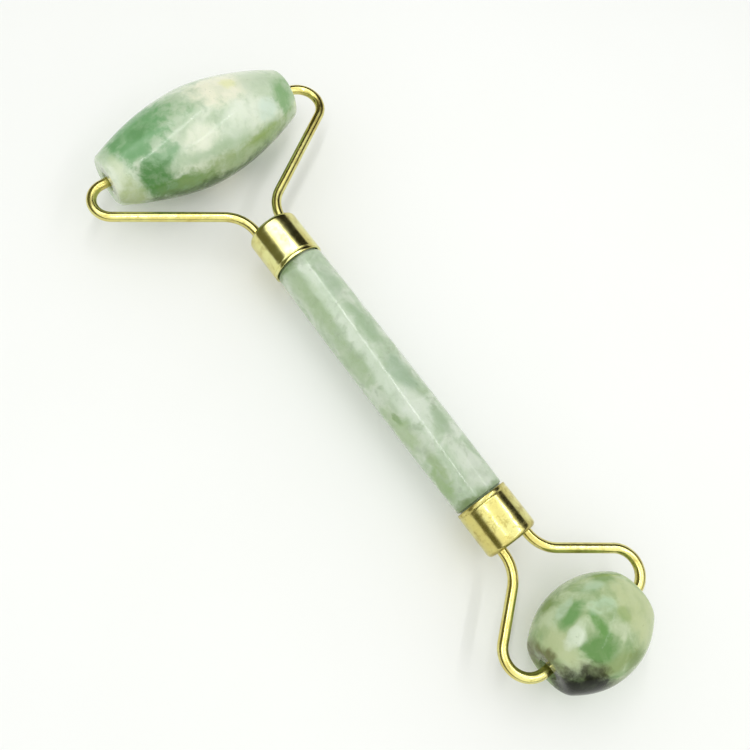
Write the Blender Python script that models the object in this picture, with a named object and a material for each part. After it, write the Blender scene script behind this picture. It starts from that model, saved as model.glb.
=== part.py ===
"""Two-ended stone face roller: a stone handle with a brass ferrule and a wire fork at each end.

Each fork is one bent brass wire whose two free ends are the axle stubs of a drilled stone
roller. The assembly is drawn with the handle along X and both axles along Y, and it lies on
its two rollers: the whole of it leans a third of a degree, because the rollers differ in size.
Run with: blender --background --python part.py
"""
import math

import bmesh
import bpy
from mathutils import Vector

MM = 0.001

# Handle: a slim stone barrel with a reduced spigot at each end
HANDLE_LENGTH = 60.7 * MM            # seen between the two ferrules
HANDLE_END_RADIUS = 5.3 * MM
HANDLE_SWELL = 0.21 * MM             # how much the middle is fatter than the ends
HANDLE_EDGE = 0.25 * MM
SPIGOT_RADIUS = 4.85 * MM
SPIGOT_LENGTH = 3.7 * MM

# Ferrules: thin drawn brass cups over the handle's spigots
FERRULE_LENGTH = 10.0 * MM
FERRULE_RADIUS = 5.63 * MM
FERRULE_WALL = 0.45 * MM
FERRULE_PLATE = 0.8 * MM
FERRULE_NOSE = 0.9 * MM              # rounding where the tube turns into the end plate
FERRULE_MOUTH_EDGE = 0.15 * MM
GROOVE_FROM_MOUTH = 0.85 * MM
GROOVE_WIDTH = 0.4 * MM
GROOVE_DEPTH = 0.14 * MM

# Forks: round wire, bent by hand, so the two arms of a fork differ a little
WIRE_RADIUS = 1.05 * MM
LEG_SPACING = 6.4 * MM               # between the two legs where they leave the ferrule
U_BEND_DEPTH = 4.9 * MM              # from the ferrule's outer face to the wire's turning point

# Each arm: middle of its outer bend from the fork's middle line, angle, leg bend and outer bend
LARGE_REACH = 27.3 * MM              # ferrule face to axle
LARGE_RIGHT_ARM = (23.0 * MM, math.radians(58.5), 7.5 * MM, 4.8 * MM)
LARGE_LEFT_ARM = (23.9 * MM, math.radians(57.9), 7.7 * MM, 4.1 * MM)
LARGE_SIDE_SHIFT = 0.1 * MM          # how far the fork sits to one side in its ferrule
LARGE_ROLLER_SIDE = 0.0              # how far the roller's middle is to one side

SMALL_REACH = 21.75 * MM
SMALL_RIGHT_ARM = (12.6 * MM, math.radians(53.9), 7.2 * MM, 4.85 * MM)
SMALL_LEFT_ARM = (10.95 * MM, math.radians(50.9), 8.1 * MM, 4.85 * MM)
SMALL_SIDE_SHIFT = 0.2 * MM
SMALL_ROLLER_SIDE = 1.15 * MM        # the small fork is bent a millimetre to one side

# Rollers: stone barrels, drilled through
LARGE_HALF_LENGTH = 22.38 * MM
LARGE_RADIUS = 10.7 * MM
LARGE_END_RADIUS = 5.4 * MM
LARGE_FULLNESS = 1.83                # exponent of the barrel's curve
SMALL_HALF_LENGTH = 11.26 * MM
SMALL_RADIUS = 9.9 * MM
SMALL_END_RADIUS = 5.5 * MM
SMALL_FULLNESS = 2.16
LARGE_EDGE = 1.2 * MM                # rounding between the belly and the flat end
SMALL_EDGE = 2.2 * MM
STONE_BORE_RADIUS = 2.1 * MM

# Sleeve bushes: nylon tubes pressed into the rollers' bores
BUSH_OUTER_RADIUS = 1.8 * MM
BUSH_BORE_RADIUS = 1.35 * MM
BUSH_LENGTH = 5.0 * MM
BUSH_RECESS = 0.9 * MM
STUB_PAST_BUSH = 0.6 * MM            # the axle stub ends just inside the bush's inner end

CLEARANCE = 0.3 * MM
ROUND_STEPS = 48
SMALL_ROUND_STEPS = 20
WELD = 0.001 * MM

# Where things are along the handle's axis, measured from the handle's middle
MOUTH_X = HANDLE_LENGTH / 2
FACE_X = MOUTH_X + FERRULE_LENGTH
LARGE_AXLE_X = -(FACE_X + LARGE_REACH)
SMALL_AXLE_X = FACE_X + SMALL_REACH
AXLE_DISTANCE = SMALL_AXLE_X - LARGE_AXLE_X
LEAN = math.asin((LARGE_RADIUS - SMALL_RADIUS) / AXLE_DISTANCE)

JADE_PALE = ("handle_jade", (0.58, 0.66, 0.54, 1.0), 0.16, 0.0)
JADE_LARGE = ("large_roller_jade", (0.50, 0.62, 0.46, 1.0), 0.14, 0.0)
JADE_SMALL = ("small_roller_jade", (0.38, 0.49, 0.31, 1.0), 0.14, 0.0)
BRASS = ("polished_brass", (0.78, 0.62, 0.27, 1.0), 0.18, 1.0)
BRASS_WIRE = ("brass_wire", (0.80, 0.66, 0.30, 1.0), 0.16, 1.0)
NYLON = ("dark_nylon", (0.05, 0.045, 0.035, 1.0), 0.55, 0.0)
RESIN = ("cured_resin", (0.55, 0.47, 0.26, 1.0), 0.45, 0.0)


def clear_scene():
    """Remove every object that the opened file holds."""
    for old in list(bpy.data.objects):
        bpy.data.objects.remove(old, do_unlink=True)


def material(spec):
    """Return the Principled material of a (name, colour, roughness, metallic) spec."""
    name, colour, roughness, metallic = spec
    found = bpy.data.materials.get(name)
    if found:
        return found
    made = bpy.data.materials.new(name)
    made.use_nodes = True
    shader = made.node_tree.nodes["Principled BSDF"]
    shader.inputs["Base Color"].default_value = colour
    shader.inputs["Roughness"].default_value = roughness
    shader.inputs["Metallic"].default_value = metallic
    return made


def add_object(name, mesh, spec, parent=None):
    """Link a mesh as a named object with its material, under a parent."""
    mesh.name = name
    mesh.materials.clear()
    mesh.materials.append(material(spec))
    mesh.shade_smooth()
    mesh.set_sharp_from_angle(angle=math.radians(35))
    made = bpy.data.objects.new(name, mesh)
    bpy.context.scene.collection.objects.link(made)
    made.parent = parent
    return made


def arc(centre, radius, start, end, steps):
    """Points of a circular arc in a plane, from one angle to another in degrees."""
    points = []
    for step in range(steps + 1):
        angle = math.radians(start + (end - start) * step / steps)
        points.append((centre[0] + radius * math.cos(angle), centre[1] + radius * math.sin(angle)))
    return points


def turned(outline, axis, steps, closed):
    """Turn an outline of (radius, distance along the axis) points into a mesh.

    A closed outline makes a ring with a bore. An open one starts and ends on the axis.
    """
    along = Vector(axis)
    across = Vector((0.0, 0.0, -1.0))
    shape = bmesh.new()
    corners = [shape.verts.new(across * radius + along * distance) for radius, distance in outline]
    pairs = list(zip(corners, corners[1:]))
    if closed:
        pairs.append((corners[-1], corners[0]))
    edges = [shape.edges.new(pair) for pair in pairs]
    bmesh.ops.spin(shape, geom=corners + edges, cent=(0, 0, 0), axis=along,
                   angle=2 * math.pi, steps=steps, use_duplicate=False)
    bmesh.ops.remove_doubles(shape, verts=shape.verts, dist=WELD)
    bmesh.ops.recalc_face_normals(shape, faces=shape.faces)
    mesh = bpy.data.meshes.new("turned")
    shape.to_mesh(mesh)
    shape.free()
    return mesh


def swept(points, radius, sides_setting=3):
    """Sweep a round section along points in the XY plane and cap both ends."""
    curve = bpy.data.curves.new("wire_path", "CURVE")
    curve.dimensions = "3D"
    curve.bevel_depth = radius
    curve.bevel_resolution = sides_setting
    curve.use_fill_caps = True
    spline = curve.splines.new("POLY")
    spline.points.add(len(points) - 1)
    for place, point in zip(spline.points, points):
        place.co = (point[0], point[1], 0.0, 1.0)
    guide = bpy.data.objects.new("wire_guide", curve)
    mesh = bpy.data.meshes.new_from_object(guide)
    bpy.data.objects.remove(guide)
    shape = bmesh.new()
    shape.from_mesh(mesh)
    bmesh.ops.remove_doubles(shape, verts=shape.verts, dist=WELD)
    bmesh.ops.recalc_face_normals(shape, faces=shape.faces)
    shape.to_mesh(mesh)
    shape.free()
    return mesh


def subtract(target, mesh, name, parent):
    """Cut a mesh out of the target with a hidden cutter object."""
    cutter = bpy.data.objects.new(name, mesh)
    bpy.context.scene.collection.objects.link(cutter)
    cutter.parent = parent
    cutter.hide_render = True
    cutter.display_type = "WIRE"
    cut = target.modifiers.new(name, "BOOLEAN")
    cut.operation = "DIFFERENCE"
    cut.solver = "EXACT"
    cut.object = cutter


def half_fork(reach, arm):
    """Centreline of one side of a fork, from the ferrule's face to the middle of the axle.

    The first number of each point is the distance out from the ferrule, the second one the
    distance from the handle's axis. The leg runs straight out, bends outwards into a straight
    arm, and turns back round the outer bend until it points along the axle.
    """
    shoulder, spread, leg_bend, outer_bend = arm
    turn = math.degrees(spread)
    bend_start = reach - outer_bend
    arm_end = (bend_start - outer_bend * math.sin(spread), shoulder + outer_bend * math.cos(spread))
    arm_rise = arm_end[1] - LEG_SPACING / 2 - leg_bend * (1 - math.cos(spread))
    arm_length = arm_rise / math.sin(spread)
    leg_end = arm_end[0] - arm_length * math.cos(spread) - leg_bend * math.sin(spread)
    first = arc((leg_end, LEG_SPACING / 2 + leg_bend), leg_bend, -90, -90 + turn, 6)
    second = arc((bend_start, shoulder), outer_bend, 90 + turn, 0, 12)
    return first + second


def fork_line(reach, right_arm, left_arm, side_shift, roller_side, stub):
    """Whole centreline of a fork wire, stub to stub, with its U-bend inside the ferrule.

    The stubs end at equal distances from the roller's middle, which may be to one side.
    """
    right = [(out, across + side_shift) for out, across in half_fork(reach, right_arm)]
    left = [(out, side_shift - across) for out, across in reversed(half_fork(reach, left_arm))]
    u_radius = LEG_SPACING / 2
    u_bend = arc((u_radius - U_BEND_DEPTH, side_shift), u_radius, 270, 90, 12)
    return ([(reach, roller_side - stub), (reach, left[0][1])] + left[1:] + u_bend
            + right[:-1] + [(reach, right[-1][1]), (reach, roller_side + stub)])


def barrel_outline(half_length, radius, end_radius, fullness, edge):
    """Closed outline of a bored barrel: bore, flat end faces, rounded edges and full belly."""
    def belly(place):
        return end_radius + (radius - end_radius) * (1 - abs(place / half_length) ** fullness)

    turn = 0.0                       # the rounding starts at the belly's own slope
    for _ in range(6):
        edge_start = half_length - edge * (1 - math.sin(turn))
        turn = math.atan((radius - end_radius) * fullness / half_length
                         * (edge_start / half_length) ** (fullness - 1))
    edge_start = half_length - edge * (1 - math.sin(turn))
    rings = 18
    side = [(belly(edge_start * (2 * ring / rings - 1)), edge_start * (2 * ring / rings - 1))
            for ring in range(rings + 1)]
    edge_middle = (belly(edge_start) - edge * math.cos(turn), half_length - edge)
    far_edge = arc(edge_middle, edge, math.degrees(turn), 90, 4)[1:]
    near_edge = [(r, -y) for r, y in reversed(far_edge)]
    bore = [(STONE_BORE_RADIUS, half_length), (STONE_BORE_RADIUS, -half_length)]
    return near_edge + side + far_edge + bore


def make_handle(assembly):
    """Stone handle: a slightly swollen rod with a spigot at each end."""
    body_end = MOUTH_X - CLEARANCE
    spigot_end = body_end + SPIGOT_LENGTH
    rings = 12
    side = []
    for ring in range(rings + 1):
        place = (body_end - HANDLE_EDGE) * (1 - 2 * ring / rings)
        side.append((HANDLE_END_RADIUS + HANDLE_SWELL * (1 - (place / MOUTH_X) ** 2), place))
    spigot = [(0.0, spigot_end),
              (SPIGOT_RADIUS - HANDLE_EDGE, spigot_end),
              (SPIGOT_RADIUS, spigot_end - HANDLE_EDGE),
              (SPIGOT_RADIUS, body_end),
              (HANDLE_END_RADIUS - HANDLE_EDGE, body_end)]
    outline = spigot + side + [(r, -x) for r, x in reversed(spigot)]
    mesh = turned(outline, (1, 0, 0), ROUND_STEPS, closed=False)
    return add_object("handle_rod", mesh, JADE_PALE, assembly)


def ferrule_outline():
    """Closed outline of a ferrule cup: mouth at zero, end plate at the ferrule's length."""
    inner = FERRULE_RADIUS - FERRULE_WALL
    plate_inside = FERRULE_LENGTH - FERRULE_PLATE
    groove = [(FERRULE_RADIUS, GROOVE_FROM_MOUTH - GROOVE_WIDTH / 2),
              (FERRULE_RADIUS - GROOVE_DEPTH, GROOVE_FROM_MOUTH),
              (FERRULE_RADIUS, GROOVE_FROM_MOUTH + GROOVE_WIDTH / 2)]
    nose = arc((FERRULE_RADIUS - FERRULE_NOSE, FERRULE_LENGTH - FERRULE_NOSE), FERRULE_NOSE, 0, 90, 5)
    mouth = [(inner, 0.0),
             (FERRULE_RADIUS - FERRULE_MOUTH_EDGE, 0.0),
             (FERRULE_RADIUS, FERRULE_MOUTH_EDGE)]
    return [(0.0, plate_inside), (inner, plate_inside)] + mouth + groove + nose + [(0.0, FERRULE_LENGTH)]


def slot_mesh():
    """Cutter for the slot that both legs of a fork leave the end plate by."""
    half_width = WIRE_RADIUS + CLEARANCE
    half_span = LEG_SPACING / 2
    outline = arc((half_span, 0.0), half_width, -90, 90, 8) + arc((-half_span, 0.0), half_width, 90, 270, 8)
    shape = bmesh.new()
    start = FERRULE_LENGTH - 2 * FERRULE_PLATE
    corners = [shape.verts.new((start, across, up)) for across, up in outline]
    face = shape.faces.new(corners)
    grown = bmesh.ops.extrude_face_region(shape, geom=[face])
    moved = [item for item in grown["geom"] if isinstance(item, bmesh.types.BMVert)]
    bmesh.ops.translate(shape, verts=moved, vec=(3 * FERRULE_PLATE, 0, 0))
    bmesh.ops.recalc_face_normals(shape, faces=shape.faces)
    mesh = bpy.data.meshes.new("slot")
    shape.to_mesh(mesh)
    shape.free()
    return mesh


def make_end(assembly, label, direction):
    """Empty that marks one mouth of the handle, turned so that its X points out along the fork."""
    end = bpy.data.objects.new(label, None)
    bpy.context.scene.collection.objects.link(end)
    end.parent = assembly
    end.location = (direction * MOUTH_X, 0, 0)
    end.rotation_euler = (0, 0, 0) if direction > 0 else (math.pi, 0, math.pi)
    return end


def make_ferrule(end, name):
    """Brass cup with a slotted end plate."""
    ferrule = add_object(name, turned(ferrule_outline(), (1, 0, 0), ROUND_STEPS, closed=False), BRASS, end)
    subtract(ferrule, slot_mesh(), name + "_slot", end)
    return ferrule


def make_fork(end, name, line):
    """Bent wire fork, drawn from the ferrule's outer face."""
    fork = add_object(name, swept(line, WIRE_RADIUS), BRASS_WIRE, end)
    fork.location.x = FERRULE_LENGTH
    return fork


def make_resin_plug(end, name, line):
    """Plug of cured adhesive in the ferrule, with the channel that the wire's U-bend lies in."""
    front = FERRULE_LENGTH - FERRULE_PLATE - CLEARANCE
    back = SPIGOT_LENGTH
    radius = FERRULE_RADIUS - FERRULE_WALL - CLEARANCE
    outline = [(0.0, back), (radius, back), (radius, front), (0.0, front)]
    plug = add_object(name, turned(outline, (1, 0, 0), ROUND_STEPS // 2, closed=False), RESIN, end)
    u_bend = [point for point in line if point[0] <= 0.0]
    legs = [(0.0, u_bend[0][1])] + u_bend + [(0.0, u_bend[-1][1])]
    mesh = swept(legs, WIRE_RADIUS + CLEARANCE, 2)
    for corner in mesh.vertices:
        corner.co.x += FERRULE_LENGTH
    subtract(plug, mesh, name + "_channel", end)
    return plug


def make_roller(assembly, label, axle_x, axle_y, half_length, radius, end_radius, fullness, edge, spec):
    """Stone roller and its two sleeve bushes, all with their origins on the axle."""
    outline = barrel_outline(half_length, radius, end_radius, fullness, edge)
    stone_mesh = turned(outline, (0, 1, 0), ROUND_STEPS, True)
    stone = add_object(label + "_roller_stone", stone_mesh, spec, assembly)
    stone.location = (axle_x, axle_y, 0)
    for side, word in ((-1, "left"), (1, "right")):
        outer_end = side * (half_length - BUSH_RECESS)
        inner_end = outer_end - side * BUSH_LENGTH
        outline = [(BUSH_BORE_RADIUS, outer_end), (BUSH_OUTER_RADIUS, outer_end),
                   (BUSH_OUTER_RADIUS, inner_end), (BUSH_BORE_RADIUS, inner_end)]
        mesh = turned(outline, (0, 1, 0), SMALL_ROUND_STEPS, True)
        bush = add_object(label + "_roller_bush_" + word, mesh, NYLON, assembly)
        bush.location = (axle_x, axle_y, 0)


def make_assembly():
    """Empty that carries everything, at the large axle, leaning so that both rollers touch z = 0."""
    half_span = (AXLE_DISTANCE * math.cos(LEAN) - LARGE_RADIUS + SMALL_RADIUS) / 2
    assembly = bpy.data.objects.new("assembly", None)
    bpy.context.scene.collection.objects.link(assembly)
    assembly.rotation_euler = (0, LEAN, 0)
    assembly.location = (-half_span - LARGE_AXLE_X * math.cos(LEAN), 0, LARGE_RADIUS + LARGE_AXLE_X * math.sin(LEAN))
    return assembly


def stub_end(half_length):
    """How far from the roller's middle an axle stub ends."""
    return half_length - BUSH_RECESS - BUSH_LENGTH - STUB_PAST_BUSH


def main():
    """Build the roller."""
    clear_scene()
    assembly = make_assembly()
    make_handle(assembly)
    large_end = make_end(assembly, "large_end", -1)
    small_end = make_end(assembly, "small_end", 1)
    large_line = fork_line(LARGE_REACH, LARGE_RIGHT_ARM, LARGE_LEFT_ARM, LARGE_SIDE_SHIFT,
                           LARGE_ROLLER_SIDE, stub_end(LARGE_HALF_LENGTH))
    small_line = fork_line(SMALL_REACH, SMALL_RIGHT_ARM, SMALL_LEFT_ARM, SMALL_SIDE_SHIFT,
                           SMALL_ROLLER_SIDE, stub_end(SMALL_HALF_LENGTH))
    for label, end, line in (("large", large_end, large_line), ("small", small_end, small_line)):
        make_ferrule(end, label + "_end_ferrule")
        make_fork(end, label + "_fork_wire", line)
        make_resin_plug(end, label + "_end_resin_plug", line)
    make_roller(assembly, "large", LARGE_AXLE_X, LARGE_ROLLER_SIDE, LARGE_HALF_LENGTH, LARGE_RADIUS,
                LARGE_END_RADIUS, LARGE_FULLNESS, LARGE_EDGE, JADE_LARGE)
    make_roller(assembly, "small", SMALL_AXLE_X, SMALL_ROLLER_SIDE, SMALL_HALF_LENGTH, SMALL_RADIUS,
                SMALL_END_RADIUS, SMALL_FULLNESS, SMALL_EDGE, JADE_SMALL)


main()
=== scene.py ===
"""Looks of a two-ended jade face roller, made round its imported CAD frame.

The handle, stones, ferrules and forks are modelled again here at a finer grain than the CAD
solids and take their places. The bushes and resin plugs keep their CAD shapes. Sizes are in
metres unless a name says otherwise.
"""

import logging
import math
from dataclasses import dataclass
from enum import Enum
from typing import Any, Callable, Union

import bmesh
import bpy
from mathutils import Euler, Matrix, Vector, noise


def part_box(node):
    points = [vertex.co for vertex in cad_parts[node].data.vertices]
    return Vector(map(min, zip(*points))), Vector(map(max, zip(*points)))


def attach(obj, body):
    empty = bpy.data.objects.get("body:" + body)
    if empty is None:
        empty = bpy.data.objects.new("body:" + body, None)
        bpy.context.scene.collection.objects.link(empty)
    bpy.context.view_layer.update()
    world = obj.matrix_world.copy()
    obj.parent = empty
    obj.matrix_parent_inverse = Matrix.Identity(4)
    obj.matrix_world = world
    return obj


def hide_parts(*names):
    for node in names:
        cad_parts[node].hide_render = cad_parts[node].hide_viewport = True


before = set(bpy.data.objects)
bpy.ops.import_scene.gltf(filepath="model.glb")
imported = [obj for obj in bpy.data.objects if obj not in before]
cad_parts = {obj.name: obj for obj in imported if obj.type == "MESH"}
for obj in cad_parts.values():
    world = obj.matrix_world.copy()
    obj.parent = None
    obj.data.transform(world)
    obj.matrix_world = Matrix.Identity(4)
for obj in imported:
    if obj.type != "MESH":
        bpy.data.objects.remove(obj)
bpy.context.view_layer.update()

MM = 0.001
Colour = tuple[float, float, float]
Outline = list[tuple[float, float]]
log = logging.getLogger("face_roller")


def tone(red: int, green: int, blue: int) -> Colour:
    """Turn a colour picked on screen, 0 to 255 a channel, into the linear one that shaders use.

    Args:
        red: The red channel.
        green: The green channel.
        blue: The blue channel.

    Returns:
        The linear colour.
    """
    def straighten(channel: int) -> float:
        """Undo the screen's gamma for one channel."""
        share = channel / 255
        return share / 12.92 if share <= 0.04045 else ((share + 0.055) / 1.055) ** 2.4

    return straighten(red), straighten(green), straighten(blue)


# --- Shader tools ---------------------------------------------------------------------------


class Signal:
    """A number that varies over a surface: one socket, with sums written as Python operators."""

    def __init__(self, graph: "Graph", socket: bpy.types.NodeSocket) -> None:
        """Wrap a socket of a graph."""
        self.graph = graph
        self.socket = socket

    def math(self, operation: str, *others: "Number") -> "Signal":
        """Feed this signal and others to one Math node.

        Args:
            operation: The Math node's operation.
            others: What goes into its other sockets.

        Returns:
            The result as a signal.
        """
        inputs = {place: value for place, value in enumerate((self, *others))}
        made = self.graph.node("ShaderNodeMath", {"operation": operation}, inputs)
        return Signal(self.graph, made.outputs[0])

    def __add__(self, other: "Number") -> "Signal":
        """Add."""
        return self.math("ADD", other)

    __radd__ = __add__

    def __sub__(self, other: "Number") -> "Signal":
        """Subtract."""
        return self.math("SUBTRACT", other)

    def __rsub__(self, other: float) -> "Signal":
        """Subtract this from a number."""
        return (self * -1.0) + other

    def __mul__(self, other: "Number") -> "Signal":
        """Multiply."""
        return self.math("MULTIPLY", other)

    __rmul__ = __mul__

    def larger(self, other: "Number") -> "Signal":
        """Take the larger of two."""
        return self.math("MAXIMUM", other)

    def ramp(self, low: float, high: float, to_low: float = 0.0, to_high: float = 1.0) -> "Signal":
        """Ease from one value to another between two limits.

        Args:
            low: Where the ramp starts.
            high: Where it ends.
            to_low: The value at the start.
            to_high: The value at the end.

        Returns:
            The eased signal.
        """
        settings = {"interpolation_type": "SMOOTHSTEP", "clamp": True}
        values = {"Value": self, "From Min": low, "From Max": high, "To Min": to_low, "To Max": to_high}
        return Signal(self.graph, self.graph.node("ShaderNodeMapRange", settings, values).outputs["Result"])


Number = Union[Signal, float]


class Graph:
    """The nodes of one material or world."""

    def __init__(self, tree: bpy.types.NodeTree) -> None:
        """Wrap a node tree."""
        self.tree = tree

    def node(self, kind: str, settings: dict[str, Any] | None = None,
             inputs: dict[Any, Any] | None = None) -> bpy.types.Node:
        """Add any node.

        Args:
            kind: The node's type.
            settings: Its own settings, which are set first.
            inputs: The value, or the link, of each socket, by name or place.

        Returns:
            The node.
        """
        made = self.tree.nodes.new(kind)
        for key, value in (settings or {}).items():
            setattr(made, key, value)
        for key, value in (inputs or {}).items():
            self.feed(made.inputs[key], value)
        return made

    def feed(self, socket: bpy.types.NodeSocket, value: Any) -> None:
        """Link a signal or a socket to a socket, or set its value.

        Args:
            socket: The socket that is fed.
            value: A signal, a socket, a number, a colour or a vector.
        """
        if isinstance(value, Signal):
            self.tree.links.new(value.socket, socket)
        elif isinstance(value, bpy.types.NodeSocket):
            self.tree.links.new(value, socket)
        elif socket.type == "RGBA" and len(value) == 3:
            socket.default_value = (*value, 1.0)
        else:
            socket.default_value = value

    def place_mm(self) -> bpy.types.NodeSocket:
        """Return the point's own coordinates on its piece, in millimetres."""
        spot = self.node("ShaderNodeTexCoord").outputs["Object"]
        return self.vector("SCALE", spot, scale=1 / MM)

    def vector(self, operation: str, first: Any, second: Any = None, scale: float | None = None) -> Any:
        """Work on vectors with one Vector Math node.

        Args:
            operation: The node's operation.
            first: The first vector.
            second: The second vector, if the operation has one.
            scale: The factor, for the operation SCALE.

        Returns:
            The vector socket.
        """
        inputs = {0: first}
        if second is not None:
            inputs[1] = second
        if scale is not None:
            inputs["Scale"] = scale
        return self.node("ShaderNodeVectorMath", {"operation": operation}, inputs).outputs["Vector"]

    def length(self, vector: Any) -> Signal:
        """Return a vector's length."""
        made = self.node("ShaderNodeVectorMath", {"operation": "LENGTH"}, {0: vector})
        return Signal(self, made.outputs["Value"])

    def axis(self, vector: Any, name: str) -> Signal:
        """Return one axis, X, Y or Z, of a vector."""
        return Signal(self, self.node("ShaderNodeSeparateXYZ", None, {"Vector": vector}).outputs[name])

    def noise(self, vector: Any, size: float, detail: float = 3.0, rough: float = 0.5,
              twist: float = 0.0) -> bpy.types.Node:
        """Add a noise texture.

        Args:
            vector: Where it is read.
            size: About how large its blobs are, in the vector's unit.
            detail: How many finer octaves it has.
            rough: How strong those are.
            twist: How far it distorts itself.

        Returns:
            The node.
        """
        inputs = {"Vector": vector, "Scale": 1 / size, "Detail": detail, "Roughness": rough,
                  "Distortion": twist}
        return self.node("ShaderNodeTexNoise", None, inputs)

    def grain(self, vector: Any, size: float, detail: float = 3.0, rough: float = 0.5,
              twist: float = 0.0) -> Signal:
        """Return a noise texture's number. Its arguments are those of noise."""
        return Signal(self, self.noise(vector, size, detail, rough, twist).outputs["Fac"])

    def warped(self, vector: Any, size: float, reach: float, detail: float = 2.0) -> Any:
        """Shift a vector by noise, so that what is read from it gets a natural outline.

        Args:
            vector: The vector.
            size: The size of the noise's blobs.
            reach: How far it shifts.
            detail: How many finer octaves the noise has.

        Returns:
            The shifted vector.
        """
        push = self.vector("SUBTRACT", self.noise(vector, size, detail).outputs["Color"], (0.5, 0.5, 0.5))
        return self.vector("ADD", vector, self.vector("SCALE", push, scale=2 * reach))

    def blend(self, share: Number, first: Any, second: Any) -> Any:
        """Mix two colours.

        Args:
            share: How much of the second colour.
            first: The first colour.
            second: The second colour.

        Returns:
            The colour socket.
        """
        settings = {"data_type": "RGBA", "blend_type": "MIX", "clamp_factor": True}
        return self.node("ShaderNodeMix", settings, {0: share, 6: first, 7: second}).outputs[2]

    def bump(self, height: Signal, depth: float, strength: float = 1.0) -> Any:
        """Turn a height into a normal.

        Args:
            height: The height, 0 to 1.
            depth: What a height of 1 stands for.
            strength: The bump's strength.

        Returns:
            The normal socket.
        """
        inputs = {"Height": height, "Distance": depth, "Strength": strength}
        return self.node("ShaderNodeBump", None, inputs).outputs["Normal"]


class MaterialGraph(Graph):
    """One material's nodes, round a Principled shader."""

    def __init__(self, name: str) -> None:
        """Start a material with a Principled shader."""
        self.material = bpy.data.materials.new(name)
        self.material.use_nodes = True
        super().__init__(self.material.node_tree)
        self.shader = self.tree.nodes["Principled BSDF"]


# --- Finishes -------------------------------------------------------------------------------

STONE_DEPTH_SHARE = 0.22                 # how much light goes into the jade and comes out again
STONE_DEPTH_TINT = (0.9, 1.0, 0.7)
STONE_DEPTH = 1.4 * MM
STONE_RELIEF = 0.06 * MM
BRASS_RELIEF = 0.012 * MM
CAST_RELIEF = 0.02 * MM
RICHER_BRASS = (0.93, 0.86, 0.72)        # how the deeper hue of brass differs from the lighter one
RIM_SHADE_RAGGED_MM = 2.2                      # how unevenly the painted shade at a ferrule's mouth and nose ends
RIM_SHADE_FADE_MM = 0.9


@dataclass(frozen=True)
class CloudOrLightPatch:
    """One patch of another colour in a stone, placed on the surface of a bar or barrel. Most are the stone's
    own colour; a few are painted light and shade instead.

    Along is measured on the piece's long axis from its middle, and round is the angle from
    straight up, both to the patch's middle.
    """

    colour: Colour
    along_mm: float
    round_deg: float
    half_long_mm: float
    half_wide_mm: float
    strength: float = 1.0
    edge: float = 0.42
    solidity: float = 0.78


class LongAxis(Enum):
    """Which of a piece's own axes runs along it."""

    X = "X"
    Y = "Y"


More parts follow.
